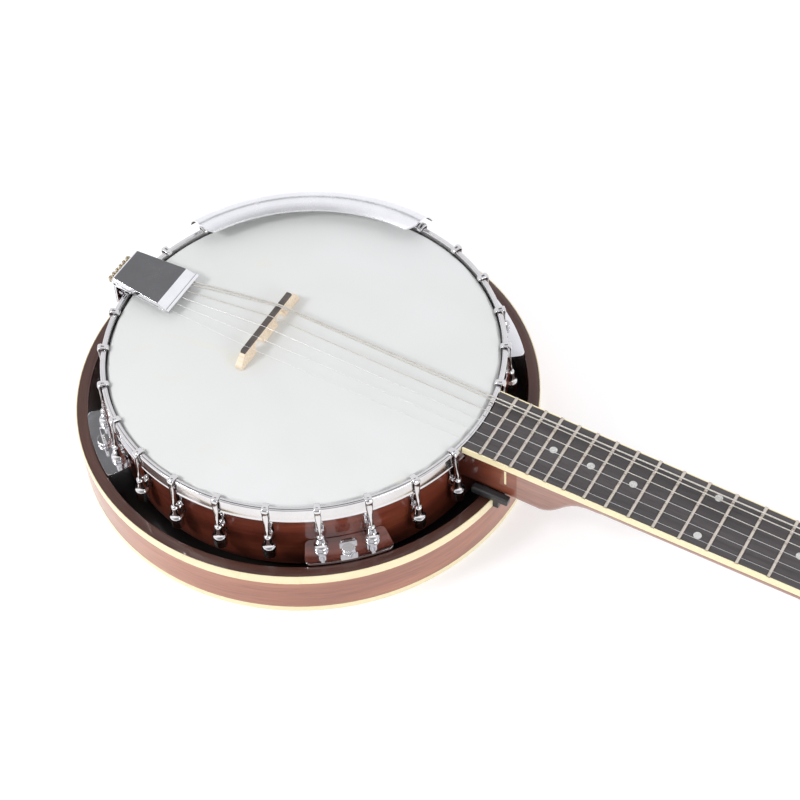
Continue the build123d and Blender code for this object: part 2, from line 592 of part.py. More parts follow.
notches = [(pair_y, 3.4)] + [(y, 1.4) for y in STRING_Y_BRIDGE[2:]]
for y, width in notches:
    bridge_cap -= block(BRIDGE_X - 5, BRIDGE_X + 5, y - width / 2, y + width / 2,
                        top_z - SEAT, top_z + 3)

# ---------------------------------------------------------------- tailpiece
TAIL_X = -154.0                       # inner face of the tail lip
DECK_Z, SHEET = 80.0, 1.5
LIP_TOP = 85.4
BAR_X, BAR_R = -110.0, 1.3
STRING_Z_TAIL, STRING_Z_BAR = 83.3, 82.3
HINGE_X, HINGE_Z, PIN_R = -149.0, 87.4, 0.9
TAIL_HALF = 13.8
tail_y = [TAIL_PITCH * (2.5 - i) for i in range(6)]

deck_face = outline([(TAIL_X - SHEET, -TAIL_HALF), (-146, -TAIL_HALF), (-106, -18.2),
                     (-106, 18.2), (-146, TAIL_HALF), (TAIL_X - SHEET, TAIL_HALF)])
base = Pos(0, 0, DECK_Z) * extrude(deck_face, SHEET)
base += block(TAIL_X - SHEET, TAIL_X, -TAIL_HALF, TAIL_HALF, 62, LIP_TOP)
for y in tail_y:
    base -= block(TAIL_X - 3, TAIL_X + 1, y - 0.7, y + 0.7, DECK_Z + 2.0, 90)
for side in (-1, 1):
    near, far = sorted((side * 12.6, side * TAIL_HALF))
    ear = block(HINGE_X - 2.2, HINGE_X + 2.2, near, far, DECK_Z, HINGE_Z)
    ear += rod_y(2.2, near, far, x=HINGE_X, z=HINGE_Z)
    base += ear
    near, far = sorted((side * 16.6, side * 17.9))
    base += block(BAR_X - 2.0, BAR_X + 2.0, near, far, DECK_Z, 85.0)
base -= rod_y(PIN_R, -20, 20, x=HINGE_X, z=HINGE_Z)
base += rod_y(BAR_R, -17.5, 17.5, x=BAR_X, z=STRING_Z_BAR + BAR_R + 0.6)

COVER_SHEET = 1.2
cover_top = [(-152.4, 90.9), (-151.2, 91.5), (-111.0, 88.2), (-104.4, 85.4), (-103.4, 86.0),
             (-102.0, 85.8), (-101.2, 85.0), (-101.2, 84.1)]
cover_shell = slab_y([(-152.4, 85.6)] + cover_top, 40)
cover_hollow = slab_y([(x, z - COVER_SHEET) for x, z in cover_top[:3]]
                      + [(-105.2, 84.5), (-102.6, 84.3), (-102.6, 80),
                         (-153.5, 80), (-153.5, 89.7)], 40)


def taper_plan(tail_half, front_half):
    face = outline([(-153.4, -tail_half), (-100, -front_half), (-100, front_half),
                    (-153.4, tail_half)])
    return Pos(0, 0, 70) * extrude(face, 30)


cover_plan = taper_plan(15.3, 20.3)
cover_room = taper_plan(14.1, 19.1)
tail_cover = (cover_shell & cover_plan) - (cover_hollow & cover_room)
tail_cover -= rod_y(PIN_R + 0.07, -20, 20, x=HINGE_X, z=HINGE_Z)
save(tail_cover, "tailpiece_cover")
save(rod_y(PIN_R, -15.9, 15.9, x=HINGE_X, z=HINGE_Z), "tailpiece_hinge_pin")

# The hanger carries the tailpiece on the rim, under the nuts of the coordinator rods.
LEG_Z0, LEG_Z1 = 60.4, 62.0
hanger = block(-153.9, -152.3, -TAIL_HALF, TAIL_HALF, LEG_Z0, 79.6)
hanger += block(-153.9, HANGER_X, -10, 10, LEG_Z0, LEG_Z1)
foot = block(HANGER_X, HANGER_X + 4, -10, 10, 33, LEG_Z1)
hanger += foot - disc(RIM_R + 0.05, 0, HEAD_Z)
SCREW_SPOTS = ((-8.8, 69.0), (8.8, 69.0))
tail_screws = []
for y, z in SCREW_SPOTS:
    shank = rod_x(1.6, -155.5, -150.6, y=y, z=z)
    base -= shank
    hanger -= shank
    cap = rod_x(3.1, -157.3, -155.5, y=y, z=z) - block(-160, -156.7, y - 4, y + 4, z - 0.4, z + 0.4)
    tail_screws.append(shank + cap)
tension = rod_x(2.0, -158.5, -149.6, z=73.4)
base -= tension
hanger -= tension
knob = rod_x(4.1, -162.6, -158.4, z=73.4)
for i in range(20):
    flute = Pos(-163, 0, 73.4) * Rot(18 * i, 0, 0) * rod_x(0.35, 0, 5, y=4.2)
    knob -= flute
knob -= block(-164, -161.6, -0.5, 0.5, 60, 90)
for z in ROD_Z:
    hanger -= rod_x(LAG_R + 0.15, -160, -130, z=z)
save(base, "tailpiece_base")
save(hanger, "tailpiece_hanger")
save(group(tail_screws), "tailpiece_screws")
save(tension + knob, "tailpiece_tension_screw")

# ---------------------------------------------------------------- strings
def in_row(frame, x, y, z):
    p = (frame * Pos(x, y, z)).position
    return (p.X, p.Y, p.Z)


def string_path(i):
    """Straight runs from the ball end, under the bar, over bridge and nut, to the post."""
    r = STRING_D[i] / 2
    side = 1 if i < 3 else -1
    t = POST_T[i if i < 3 else 5 - i]
    share = (BAR_X - TAIL_X) / (BRIDGE_X - TAIL_X)
    bar_y = tail_y[i] + (STRING_Y_BRIDGE[i] - tail_y[i]) * share
    return [
        (-155.75, tail_y[i], STRING_Z_TAIL),
        (BAR_X, bar_y, STRING_Z_BAR + 0.6 - r),
        (BRIDGE_X, STRING_Y_BRIDGE[i], top_z - SEAT + r + 0.01),
        in_row(neck_frame, S_END + 2.3, STRING_Y_NUT[i], STRING_W + r + 0.01),
        in_row(neck_frame * head_frame, t - 4.3, side * (POST_Y - 3.9), 4.5),
    ]


def wire_along(points, d):
    path = FilletPolyline(*points, radius=[3.0, 3.0, 3.0])
    start = points[0]
    heading = Vector(*points[1]) - Vector(*start)
    section = Plane(start, z_dir=heading) * Circle(d / 2)
    return sweep(section, path=path)


wires = [wire_along(string_path(i), STRING_D[i]) for i in range(6)]
save(group(wires[:3]), "wound_strings")
save(group(wires[3:]), "plain_strings")
for wire in wires:
    bridge_cap -= wire
    string_nut -= wire
save(bridge_cap, "bridge_cap")
save(string_nut, "nut")

BALL_R = 1.9
balls = []
for y in tail_y:
    ball = Pos(-157.65, y, STRING_Z_TAIL - 1.7) * Cylinder(BALL_R, 3.4, align=BASE)
    balls.append(ball - Pos(-157.65, y, 70) * Cylinder(0.8, 30, align=BASE))
save(group(balls), "string_ball_ends")

# ---------------------------------------------------------------- armrest
REST_A0, REST_A1 = 81.8, 154.8        # its two ends, degrees from +X
REST_T = 1.6
REST_Z0 = 80.0              # outer edge, turned down beside the hoop
REST_R0 = 128.2             # inner edge of the plate


def rest_profile(offset):
    """Arched section: low inner edge, crest over the hoop, outer edge turned down."""
    return [(REST_R0, 88.4 - offset), (133.8, 91.2 - offset), (140.0, 92.2 - offset),
            (146.4, 90.0 - offset), (151.4 - offset * 0.7, 84.9 - offset * 0.5),
            (153.8 - offset, REST_Z0)]


upper_line = Spline(*rest_profile(0.0))
lower_line = Spline(*rest_profile(REST_T))
ends = [Line(upper_line @ 0, lower_line @ 0), Line(upper_line @ 1, lower_line @ 1)]
rest_face = Plane.XZ * make_face([upper_line, lower_line] + ends)
rest = Rot(0, 0, REST_A0) * revolve(rest_face, Axis.Z, REST_A1 - REST_A0)


def rest_plan():
    """Sector with its inner corners well rounded and its outer corners eased."""
    ring = Circle(158) - Circle(REST_R0 - 1)
    reach = 400
    wedge = make_face(Polyline(
        (0, 0), (reach * cos(radians(REST_A0)), reach * sin(radians(REST_A0))), (0, reach * 1.2),
        (reach * cos(radians(REST_A1)), reach * sin(radians(REST_A1))), close=True))
    sector = ring & wedge
    inner = sector.vertices().sort_by(lambda v: hypot(v.X, v.Y))[:2]
    return extrude(fillet(inner, 13.0), 120)


rest &= rest_plan()
save(rest, "armrest_plate")


CLAMP_SIDE = 5.8            # how far each clamp stands beside its hook


def armrest_clamp():
    """Strap gripping the hoop beside a hook, with two arms that spread up to the armrest."""
    half = 2.6
    strap = slab_y([(141.0, HOOP_Z1 + 0.1), (145.7, HOOP_Z1 + 0.1), (145.7, HOOP_Z0 - 0.2),
                    (142.9, HOOP_Z0 - 0.2), (142.9, 61.4), (147.2, 61.4), (147.2, 80.8),
                    (141.0, 80.8)], half)
    outer_arm = slab_y([(145.1, 80.6), (147.2, 80.6), (151.6, 85.4), (148.9, 88.4)], half)
    inner_arm = slab_y([(143.4, 80.6), (145.6, 80.6), (136.2, 95.0), (133.9, 94.0)], half)
    screw_hole = rod_x(1.5, 140, 160, z=71.0)
    return Pos(0, CLAMP_SIDE, 0) * (strap + outer_arm + inner_arm - screw_hole)


def armrest_screw():
    shank = rod_x(1.5, HOOP_R_WALL + 0.05, 147.5, z=71.0)
    head = rod_x(3.2, 147.4, 150.1, z=71.0) - block(149.5, 152, -5, 5, 70.6, 71.4)
    return Pos(0, CLAMP_SIDE, 0) * (shank + head)


lower_again = Spline(*rest_profile(REST_T))
lid_edges = [lower_again, Polyline(lower_again @ 1, (175, REST_Z0), (175, 120), (REST_R0, 120),
                                   lower_again @ 0)]
lid = revolve(Plane.XZ * make_face(lid_edges), Axis.Z)
CLAMP_ANGLES = (PITCH * 6, PITCH * 11)
clamps = []
for angle, side in zip(CLAMP_ANGLES, (-1, 1)):
    arm = armrest_clamp()
    arm = arm if side < 0 else arm.mirror(Plane.XZ)
    clamps.append(around(arm, angle) - lid)
screws = []
for angle, side in zip(CLAMP_ANGLES, (-1, 1)):
    screw = armrest_screw()
    screws.append(around(screw if side < 0 else screw.mirror(Plane.XZ), angle))
save(group(clamps), "armrest_clamps")
save(group(screws), "armrest_screws")
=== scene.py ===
import json
from math import copysign, cos, pi, radians, sin

import bpy
from mathutils import Matrix, Vector


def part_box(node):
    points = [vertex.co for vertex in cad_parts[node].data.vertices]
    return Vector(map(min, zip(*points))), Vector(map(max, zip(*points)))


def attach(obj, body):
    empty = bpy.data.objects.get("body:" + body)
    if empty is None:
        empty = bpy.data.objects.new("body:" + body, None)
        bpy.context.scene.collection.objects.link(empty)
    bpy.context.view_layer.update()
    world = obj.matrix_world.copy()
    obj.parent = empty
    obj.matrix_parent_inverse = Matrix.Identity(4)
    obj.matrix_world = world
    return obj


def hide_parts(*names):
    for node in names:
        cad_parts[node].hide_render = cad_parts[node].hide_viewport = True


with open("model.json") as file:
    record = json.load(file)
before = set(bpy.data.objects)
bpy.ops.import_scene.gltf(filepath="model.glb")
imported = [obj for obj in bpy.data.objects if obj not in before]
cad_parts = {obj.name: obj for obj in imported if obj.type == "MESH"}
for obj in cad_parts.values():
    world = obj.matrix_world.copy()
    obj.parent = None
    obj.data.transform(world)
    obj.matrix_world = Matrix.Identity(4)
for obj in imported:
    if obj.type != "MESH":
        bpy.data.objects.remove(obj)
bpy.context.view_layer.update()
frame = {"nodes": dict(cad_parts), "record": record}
NODES = frame["nodes"]
SCENE = bpy.context.scene
MM = 0.001
ARC_RADIUS = 0.15  # where lengths along the polar coordinates are true, in metres
RES_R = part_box("resonator_bindings")[1][0]
RES_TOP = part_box("resonator_wall")[1][2]


# ------------------------------------------------------------------ shader helpers
class Look:
    """One procedural material: a Principled shader and short calls that add nodes to it."""

    def __init__(self, name, **fixed):
        self.material = bpy.data.materials.new(name)
        self.material.use_nodes = True
        self.tree = self.material.node_tree
        self.bsdf = self.tree.nodes["Principled BSDF"]
        for socket, value in fixed.items():
            self.bsdf.inputs[socket.replace("_", " ")].default_value = value
        self.coords = self.tree.nodes.new("ShaderNodeTexCoord").outputs["Object"]

    def node(self, kind, values=None, **props):
        made = self.tree.nodes.new("ShaderNode" + kind)
        for key, value in props.items():
            setattr(made, key, value)
        for key, value in (values or {}).items():
            if hasattr(value, "is_output"):
                self.tree.links.new(value, made.inputs[key])
            else:
                made.inputs[key].default_value = value
        return made

    def math(self, operation, a, b=0.0):
        return self.node("Math", {0: a, 1: b}, operation=operation).outputs[0]

    def stretch(self, vector, scale, shift=(0, 0, 0)):
        mapping = self.node("Mapping", {"Vector": vector, "Scale": scale, "Location": shift})
        return mapping.outputs[0]

    def noise(self, vector, scale=5.0, detail=4.0, rough=0.5, twist=0.0):
        return self.node("TexNoise", {"Vector": vector, "Scale": scale, "Detail": detail,
                                      "Roughness": rough, "Distortion": twist}).outputs[0]

    def wave(self, vector, scale):
        return self.node("TexWave", {"Vector": vector, "Scale": scale, "Distortion": 0.0,
                                     "Detail": 0.0}).outputs["Fac"]

    def ramp(self, fac, stops):
        made = self.node("ValToRGB", {"Fac": fac})
        band = made.color_ramp
        while len(band.elements) < len(stops):
            band.elements.new(0.5)
        for element, (place, colour) in zip(band.elements, stops):
            element.position = place
            element.color = (*colour, 1.0)
        return made.outputs[0]

    def span(self, fac, low, high, out_low, out_high):
        return self.node("MapRange", {"Value": fac, "From Min": low, "From Max": high,
                                      "To Min": out_low, "To Max": out_high}).outputs[0]

    def mix(self, fac, a, b, blend="MIX"):
        made = self.node("Mix", data_type="RGBA", blend_type=blend)
        for index, value in ((0, fac), (6, a), (7, b)):
            if hasattr(value, "is_output"):
                self.tree.links.new(value, made.inputs[index])
            elif index == 0:
                made.inputs[0].default_value = value
            else:
                made.inputs[index].default_value = (*value, 1.0)
        return made.outputs[2]

    def set(self, socket, output):
        self.tree.links.new(output, self.bsdf.inputs[socket])

    def bump(self, height, strength=0.2, distance=0.0005):
        made = self.node("Bump", {"Height": height, "Strength": strength, "Distance": distance})
        self.tree.links.new(made.outputs[0], self.bsdf.inputs["Normal"])

    def polar(self):
        """Coordinates that run along, across and up a ring about Z: arc, radius, height."""
        parts = self.node("SeparateXYZ", {"Vector": self.coords}).outputs
        turn = self.math("ARCTAN2", parts[1], parts[0])
        arc = self.math("MULTIPLY", turn, ARC_RADIUS)
        square = self.math("ADD", self.math("MULTIPLY", parts[0], parts[0]),
                           self.math("MULTIPLY", parts[1], parts[1]))
        radius = self.math("SQRT", square)
        return self.node("CombineXYZ", {0: arc, 1: radius, 2: parts[2]}).outputs[0]


def wood(name, dark, mid, light, ring=False, grain=1.0, pores=0.5, rough=(0.28, 0.42), coat=0.7,
         relief=0.15, zones=None):
    """Lacquered wood: long figure along X or round the ring, fine streaks and open pores."""
    look = Look(name, Coat_Weight=coat, Coat_Roughness=0.06)
    base = look.polar() if ring else look.coords

    def along(length, across):
        return look.stretch(base, (length * grain, across * grain, across * grain))

    figure = look.noise(along(5, 34), 1.0, 5, 0.55, 0.6)
    streak = look.noise(along(18, 420), 1.0, 3, 0.6)
    pore = look.noise(along(60, 1500), 1.0, 2, 0.5)
    tone = look.ramp(figure, [(0.25, dark), (0.5, mid), (0.75, light)])
    streaks = look.ramp(streak, [(0.35, (0.72, 0.68, 0.66)), (0.6, (1, 1, 1))])
    tone = look.mix(0.6, tone, streaks, "MULTIPLY")
    pits = look.ramp(pore, [(0.30, (0.45, 0.42, 0.4)), (0.42, (1, 1, 1))])
    tone = look.mix(pores, tone, pits, "MULTIPLY")
    look.set("Base Color", zones(look, tone) if zones else tone)
    look.set("Roughness", look.span(streak, 0.3, 0.7, *rough))
    look.bump(pore, relief, 0.0002)
    return look.material


def darken_where(look, tone, shade, mask):
    """The wood tone darkened by a colour where the mask is 1, for painted shade."""
    return look.mix(mask, tone, look.mix(1.0, tone, shade, "MULTIPLY"))


def resonator_shade_zones(look, tone):
    """Near-black bowl inside as painted shade, a dark grey-brown rim top as painted shade and
    reflection, lighter stain outside and underneath.
    """
    wall_inside, soft = RES_R - 0.0090, 0.0004
    radius, height = look.node("SeparateXYZ", {"Vector": look.polar()}).outputs[1:3]
    within_wall = look.span(radius, wall_inside + soft, wall_inside - soft, 0.0, 1.0)
    above_back = look.span(height, 0.003, 0.004, 0.0, 1.0)
    # painted shade: the bowl inside the wall and above the back is made near black
    inner = look.math("MULTIPLY", within_wall, above_back)
    # painted shade and dark reflection: the rim top is darkened and greyed
    top = look.span(height, RES_TOP - 0.0030, RES_TOP - 0.0012, 0.0, 1.0)
    tone = darken_where(look, tone, (0.19, 0.18, 0.21), top)
    return look.mix(inner, tone, (0.022, 0.017, 0.016))


def heel_shade_zones(look, tone):
    """Painted shade that gets darker towards the pot, where the heel stands inside the resonator.
    """
    in_cutout, rim_shadow_span = (0.1828, 0.1836), (0.150, 0.1745)
    along = look.node("SeparateXYZ", {"Vector": look.coords}).outputs[0]
    band = look.span(along, *in_cutout, 1.0, 0.0)
    rim_shadow = look.span(along, *rim_shadow_span, 1.0, 0.0)
    # painted shade: a redder, darker band on the pot side of the cut-out's edge, and deeper shade
    # by the rim
    tone = darken_where(look, tone, (0.73, 0.39, 0.24), band)
    return darken_where(look, tone, (0.34, 0.26, 0.30), rim_shadow)


def metal(name, colour, rough=(0.05, 0.13), smudge=0.06, scale=60.0, relief=0.02, stain=None):
    """Polished plated metal with faint smudges and hairline scratches."""
    look = Look(name, Metallic=1.0)
    cloud = look.noise(look.coords, scale, 4, 0.6, 0.3)
    fine = look.noise(look.stretch(look.coords, (900, 900, 2600)), 1.0, 2, 0.5)
    tone = look.ramp(cloud, [(0.3, tuple(c * (1 - smudge) for c in colour)), (0.65, colour)])
    if stain:
        spots = look.noise(look.coords, scale * 4, 3, 0.6)
        tone = look.mix(look.span(spots, 0.55, 0.75, 0.0, 0.8), tone, stain)
    look.set("Base Color", tone)
    look.set("Roughness", look.span(cloud, 0.3, 0.75, *rough))
    look.bump(fine, relief, 0.0001)
    return look.material


def plastic(name, low, high, scale, coat):
    """Satin moulded or polished stuff: faint clouds of tone and gloss, fine tooth."""
    look = Look(name, Coat_Weight=coat)
    cloud = look.noise(look.coords, scale, 4, 0.55, 0.4)
    grit = look.noise(look.coords, 900.0, 2, 0.5)
    look.set("Base Color", look.ramp(cloud, [(0.3, low), (0.7, high)]))
    look.set("Roughness", look.span(cloud, 0.3, 0.7, 0.3, 0.45))
    look.bump(grit, 0.05, 0.0001)
    return look.material


def head_look():
    """Frosted coated film: pale grey-white with a fine tooth and a few faint handling marks."""
    look = Look("drum_film", Coat_Weight=0.12, Coat_Roughness=0.35)
    broad = look.noise(look.coords, 9.0, 3, 0.5, 0.5)
    tooth = look.noise(look.coords, 1500.0, 2, 0.6)
    base = look.ramp(broad, [(0.3, (0.714, 0.726, 0.704)), (0.7, (0.752, 0.762, 0.752))])
    mark = look.noise(look.stretch(look.coords, (14, 14, 14), (5.3, 4.2, 0.4)), 1.0, 2, 0.5, 1.2)
    base = look.mix(look.span(mark, 0.64, 0.78, 0.0, 0.6), base, (0.75, 0.73, 0.60))
    look.set("Base Color", base)
    look.set("Roughness", look.span(tooth, 0.3, 0.7, 0.42, 0.6))
    look.bump(tooth, 0.12, 0.0001)
    return look.material


def binding_look():
    """Cream celluloid with faint grain lines."""
    look = Look("ivory_binding_look", Coat_Weight=0.4, Coat_Roughness=0.08,
                Subsurface_Weight=0.1, Subsurface_Scale=0.002)
    cloud = look.noise(look.coords, 30.0, 4, 0.55, 0.4)
    line = look.noise(look.stretch(look.coords, (8, 8, 900)), 1.0, 3, 0.5)
    tone = look.ramp(cloud, [(0.3, (0.95, 0.82, 0.51)), (0.7, (0.98, 0.87, 0.58))])
    lines = look.span(line, 0.4, 0.7, 0.0, 0.25)
    look.set("Base Color", look.mix(lines, tone, (0.86, 0.70, 0.42)))
    look.set("Roughness", look.span(cloud, 0.3, 0.7, 0.25, 0.38))
    look.bump(line, 0.03, 0.0001)
    return look.material


def pearl_look():
    """Swirled grey-white pearloid."""
    look = Look("pearl_look", Coat_Weight=0.4, Coat_Roughness=0.06)
    swirl = look.noise(look.coords, 420.0, 4, 0.6, 1.6)
    tone = look.ramp(swirl, [(0.3, (0.46, 0.46, 0.44)), (0.5, (0.60, 0.60, 0.58)),
                             (0.68, (0.74, 0.74, 0.70))])
    look.set("Base Color", tone)
    look.set("Roughness", look.span(swirl, 0.3, 0.7, 0.18, 0.32))
    look.bump(swirl, 0.02, 0.0001)
    return look.material


def wound_look():
    """Round-wound string: the winding is a fine wave along the string, with painted shade in its
    grooves.
    """
    look = Look("wound_wire_look", Metallic=1.0)
    turns = look.wave(look.coords, 1300.0)
    cloud = look.noise(look.coords, 120.0, 3, 0.5)
    tone = look.ramp(cloud, [(0.3, (0.70, 0.67, 0.61)), (0.7, (0.84, 0.81, 0.75))])
    # painted shade in the grooves between the turns
    groove_shade = look.span(turns, 0.2, 0.8, 0.4, 0.0)
    look.set("Base Color", look.mix(groove_shade, tone, (0.42, 0.39, 0.34)))
    look.set("Roughness", look.span(cloud, 0.3, 0.7, 0.38, 0.5))
    look.bump(turns, 0.5, 0.0001)
    return look.material


MAHOGANY = (0.25, 0.078, 0.045), (0.44, 0.165, 0.095), (0.60, 0.26, 0.155)
LOOKS = {
    "head_film": head_look(),
    "chrome": metal("chrome_look", (0.92, 0.92, 0.945), (0.035, 0.09), relief=0.006),
    "dull_chrome": metal("dull_chrome_look", (0.77, 0.755, 0.76), (0.05, 0.12), 0.12,
                         relief=0.006),
    "soft_chrome": metal("soft_chrome_look", (0.95, 0.95, 0.975), (0.24, 0.30), relief=0.006),
    "steel": metal("zinc_steel_look", (0.55, 0.55, 0.57), (0.25, 0.4), 0.15, 90),
    "brass": metal("brass_look", (0.66, 0.56, 0.40), (0.2, 0.36), 0.25, 300, 0.05,
                   (0.30, 0.22, 0.13)),
    "rim_wood": wood("rim_wood_look", (0.075, 0.017, 0.010), (0.22, 0.048, 0.025),
                     (0.40, 0.105, 0.050), ring=True, coat=0.8),
    "resonator_wood": wood("resonator_wood_look", *MAHOGANY, ring=True, zones=resonator_shade_zones),
    "back_wood": wood("back_wood_look", *MAHOGANY, zones=resonator_shade_zones),
    "neck_wood": wood("neck_wood_look", (0.27, 0.125, 0.092), (0.37, 0.18, 0.135),
                      (0.46, 0.24, 0.185), coat=0.8, zones=heel_shade_zones),
    "ivory_binding": binding_look(),
    "black_plastic": plastic("black_plastic_look", (0.018, 0.018, 0.019),
                             (0.032, 0.032, 0.034), 40.0, 0.1),
    "maple": wood("maple_look", (0.94, 0.75, 0.56), (0.98, 0.82, 0.63), (0.99, 0.87, 0.69),
                  grain=1.6, pores=0.15, coat=0.0, rough=(0.4, 0.55)),
    "ebony": wood("ebony_look", (0.050, 0.042, 0.038), (0.090, 0.074, 0.066),
                  (0.135, 0.112, 0.100), grain=1.4, pores=0.4, coat=0.15, rough=(0.3, 0.45)),
    "rosewood": wood("rosewood_look", (0.038, 0.032, 0.033), (0.070, 0.061, 0.063),
                     (0.105, 0.092, 0.094), grain=1.3, pores=0.6, coat=0.1, rough=(0.35, 0.5),
                     relief=0.3),
    "fret_wire": metal("fret_wire_look", (0.74, 0.67, 0.59), (0.22, 0.36), 0.1, 200),
    "pearl": pearl_look(),
    "bone": plastic("bone_look", (0.70, 0.64, 0.50), (0.82, 0.77, 0.64), 60.0, 0.2),
    "wound_wire": wound_look(),
    "steel_wire": metal("steel_wire_look", (0.80, 0.79, 0.77), (0.35, 0.5), 0.08, 200),
}


def dress(obj, look):
    obj.data.materials.clear()
    obj.data.materials.append(LOOKS[look])


SLOT_OF = {part["node"]: part["material_slot"] for part in frame["record"]["subparts"]}
for name, obj in NODES.items():
    dress(obj, SLOT_OF[name])
    if name == "hook_nuts" or name.startswith("resonator_thumb"):
        dress(obj, "dull_chrome")
dress(NODES["armrest_plate"], "soft_chrome")
dress(NODES["resonator_back"], "back_wood")


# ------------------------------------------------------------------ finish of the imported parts
EASED_MM = {
    "armrest_plate": 0.5, "armrest_clamps": 0.4, "resonator_plates": 0.35, "neck_saddle": 0.8,
    "tailpiece_cover": 0.55, "tailpiece_base": 0.25, "tailpiece_hanger": 0.4, "bridge_body": 0.4,
    "bridge_cap": 0.3, "fretboard": 0.15, "fretboard_binding": 0.3, "nut": 0.3,
    "resonator_wall": 0.5, "resonator_bindings": 0.4, "resonator_back": 0.5, "hook_nuts": 0.4,
    "coordinator_rod_nuts": 0.4, "tuner_housings": 0.4, "truss_rod_cover": 0.3,
    "headstock_veneer": 0.3, "neck": 0.5, "wood_rim": 0.4,
}
KNOB_EASE_MM = 0.25
SHARP = radians(34)
SHARP_OF = {"tailpiece_cover": radians(12)}


def finish_part(name, obj):
    """Joined faces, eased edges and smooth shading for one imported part."""
    mesh = obj.data
    if "custom_normal" in mesh.attributes:
        mesh.attributes.remove(mesh.attributes["custom_normal"])
    mesh.shade_smooth()
    weld = obj.modifiers.new("weld", "WELD")
    weld.merge_threshold = 1e-6
    if name in EASED_MM or name.startswith(("tuner_knob", "resonator_thumb")):
        bevel = obj.modifiers.new("eased_edges", "BEVEL")
        bevel.width = EASED_MM.get(name, KNOB_EASE_MM) * MM
        bevel.segments = 2
        bevel.limit_method = "ANGLE"
        bevel.angle_limit = SHARP_OF.get(name, SHARP)
        bevel.miter_outer = "MITER_ARC"
    normals = obj.modifiers.new("face_normals", "WEIGHTED_NORMAL")
    normals.mode = "FACE_AREA_WITH_ANGLE"
    normals.keep_sharp = True


for name, obj in NODES.items():
    finish_part(name, obj)


# ------------------------------------------------------------------ detailed metalwork
def make_piece(name, points, faces, slot, body, *stands_for):
    """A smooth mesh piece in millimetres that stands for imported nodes."""
    mesh = bpy.data.meshes.new(name)
    mesh.from_pydata([Vector(p) * MM for p in points], [], faces)
    mesh.validate()
    mesh.shade_smooth()
    piece = bpy.data.objects.new(name, mesh)
    SCENE.collection.objects.link(piece)
    dress(piece, "dull_chrome")
    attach(piece, body)
    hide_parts(*stands_for)


def curve_through(points, steps):
    """Points on a smooth closed curve through the given ones (Catmull-Rom)."""
    made = []
    count = len(points)
    for i in range(count):
        p0, p1, p2, p3 = (Vector(points[(i + k - 1) % count]) for k in range(4))
        for step in range(steps):
            t = step / steps
            made.append(0.5 * (2 * p1 + (p2 - p0) * t + (2 * p0 - 5 * p1 + 4 * p2 - p3) * t * t
                               + (3 * p1 - p0 - 3 * p2 + p3) * t ** 3))
    return made


def grid_faces(rows, columns, close_rows=False):
    """Quads between neighbouring rows of a point grid whose rows are closed loops."""
    faces = []
    for i in range(rows if close_rows else rows - 1):
        for j in range(columns):
            a, b = i * columns + j, i * columns + (j + 1) % columns
            c, d = (i + 1) % rows * columns + (j + 1) % columns, (i + 1) % rows * columns + j
            faces.append((a, b, c, d))
    return faces


def turned_ring(profile, steps=288):
    """Closed (radius, height) outline turned round Z."""
    points = []
    for k in range(steps):
        angle = 2 * pi * k / steps
        points += [(r * cos(angle), r * sin(angle), z) for r, z in profile]
    return points, grid_faces(steps, len(profile), close_rows=True)


# Millimetres from here to the stage; R is a distance from the pot's axis.
HOOP_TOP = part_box("tension_hoop")[1][2] / MM
HOOP_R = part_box("tension_hoop")[1][0] / MM
SHOE_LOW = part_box("bracket_shoes")[0][2] / MM
ROD_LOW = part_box("bracket_hooks")[0][2] / MM
HOOP_HEIGHT = 13.5
HOOK_R = 146.9
FOOT_R = 140.8
DIVISIONS = 26
NECK_AND_TAIL = (0, DIVISIONS // 2)
HOOK_ANGLES = [-2 * pi * k / DIVISIONS for k in range(DIVISIONS) if k not in NECK_AND_TAIL]


def make_hoop():
    """Flat-topped hoop with a rounded inner lip, a tall wall and a thin bead at the bottom."""
    top, low, r = HOOP_TOP, HOOP_TOP - HOOP_HEIGHT, HOOP_R
    profile = [(r - 4.1, top - 3.0), (r - 4.1, top - 0.9), (r - 3.7, top - 0.2), (r - 3.2, top),
               (r - 2.7, top - 0.15), (r - 2.2, top - 0.22), (r - 1.3, top - 0.25),
               (r - 0.75, top - 0.45), (r - 0.4, top - 1.0), (r - 0.3, top - 1.9),
               (r - 0.3, top - 4.0), (r - 0.3, top - 8.0), (r - 0.3, low + 3.2),
               (r - 0.25, low + 2.2), (r, low + 1.3), (r - 0.2, low + 0.4), (r - 0.9, low),
               (r - 2.0, low + 0.3), (r - 2.7, low + 1.6), (r - 2.8, low + 4.0),
               (r - 2.8, top - 7.5), (r - 3.3, top - 6.4), (r - 4.0, top - 5.6)]
    points, faces = turned_ring(curve_through(profile, 3))
    make_piece("hoop_rolled", points, faces, "chrome", "banjo", "tension_hoop")


def swept_bar(stations, around=20):
    """Bar in the XZ plane with a rounded section.

    Stations are (x, z, width, thickness, square); square 2 is an ellipse, more is boxier.
    """
    points, count = [], len(stations)
    for i, (x, z, width, thick, square) in enumerate(stations):
        before, after = stations[max(i - 1, 0)], stations[min(i + 1, count - 1)]
        way = Vector((after[0] - before[0], 0, after[1] - before[1])).normalized()
        out = Vector((way.z, 0, -way.x))
        power = 2 / square
        for k in range(around):
            a = 2 * pi * k / around
            u = copysign(width / 2 * abs(cos(a)) ** power, cos(a))
            v = copysign(thick / 2 * abs(sin(a)) ** power, sin(a))
            points.append(Vector((x, 0, z)) + Vector((0, u, 0)) + out * v)
    faces = grid_faces(count, around)
    faces.append(tuple(reversed(range(around))))
    faces.append(tuple(range((count - 1) * around, count * around)))
    return points, faces


